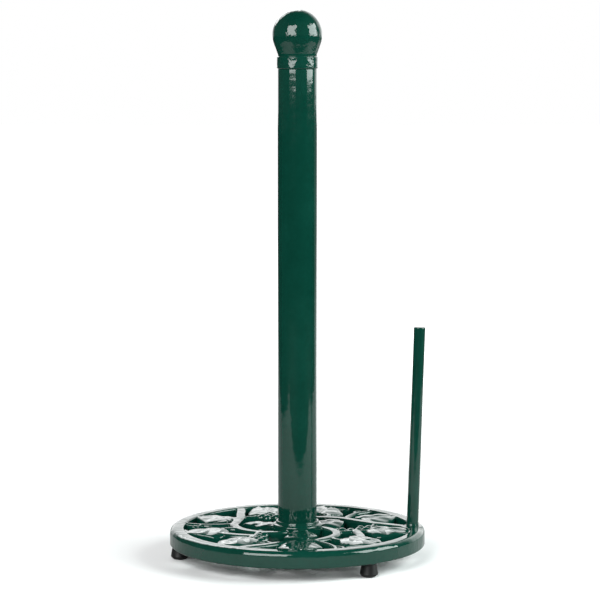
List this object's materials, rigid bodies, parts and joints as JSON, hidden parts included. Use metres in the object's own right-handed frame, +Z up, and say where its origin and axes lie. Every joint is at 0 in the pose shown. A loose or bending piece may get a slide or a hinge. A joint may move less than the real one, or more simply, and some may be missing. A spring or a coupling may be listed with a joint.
{
  "type": "paper towel holder",
  "caption": "Freestanding paper towel holder: openwork leaf-and-vine cast base on rubber feet, tubular post with screw-on ball finial, and a slim side arm.",
  "frame": {"origin": "on the table under the centre of the base", "axes": "+Z up the post, +X towards the side arm"},
  "size_m": [0.165, 0.165, 0.3529],
  "materials": {
    "green_enamel_casting": "gloss",
    "green_enamel_tube": "gloss",
    "zinc_steel": "satin",
    "black_rubber": "matte"
  },
  "bodies": {
    "stand": {"base_casting": "green_enamel_casting", "post_tube": "green_enamel_tube", "side_arm": "green_enamel_tube", "post_foot_plug": "zinc_steel", "post_head_plug": "zinc_steel", "post_bolt": "zinc_steel", "post_flat_washer": "zinc_steel", "post_lock_washer": "zinc_steel", "arm_screw": "zinc_steel", "arm_lock_washer": "zinc_steel", "foot_rear": "black_rubber", "foot_left": "black_rubber", "foot_right": "black_rubber"},
    "stud": {"finial_stud": "zinc_steel"},
    "finial": {"finial": "green_enamel_casting"}
  },
  "joints": [
    {"name": "finial_rise", "type": "slide", "parent": "stand", "child": "stud", "axis": [0, 0, 1], "range_m": [0, 0.01]},
    {"name": "finial_turn", "type": "hinge", "parent": "stud", "child": "finial", "pos_m": [0, 0, 0.3153], "axis": [0, 0, 1], "range_deg": [0, 2880]}
  ],
  "couplings": [
    {"joint": "finial_turn", "follows": "finial_rise", "rad_per_m": 5026.5}
  ]
}
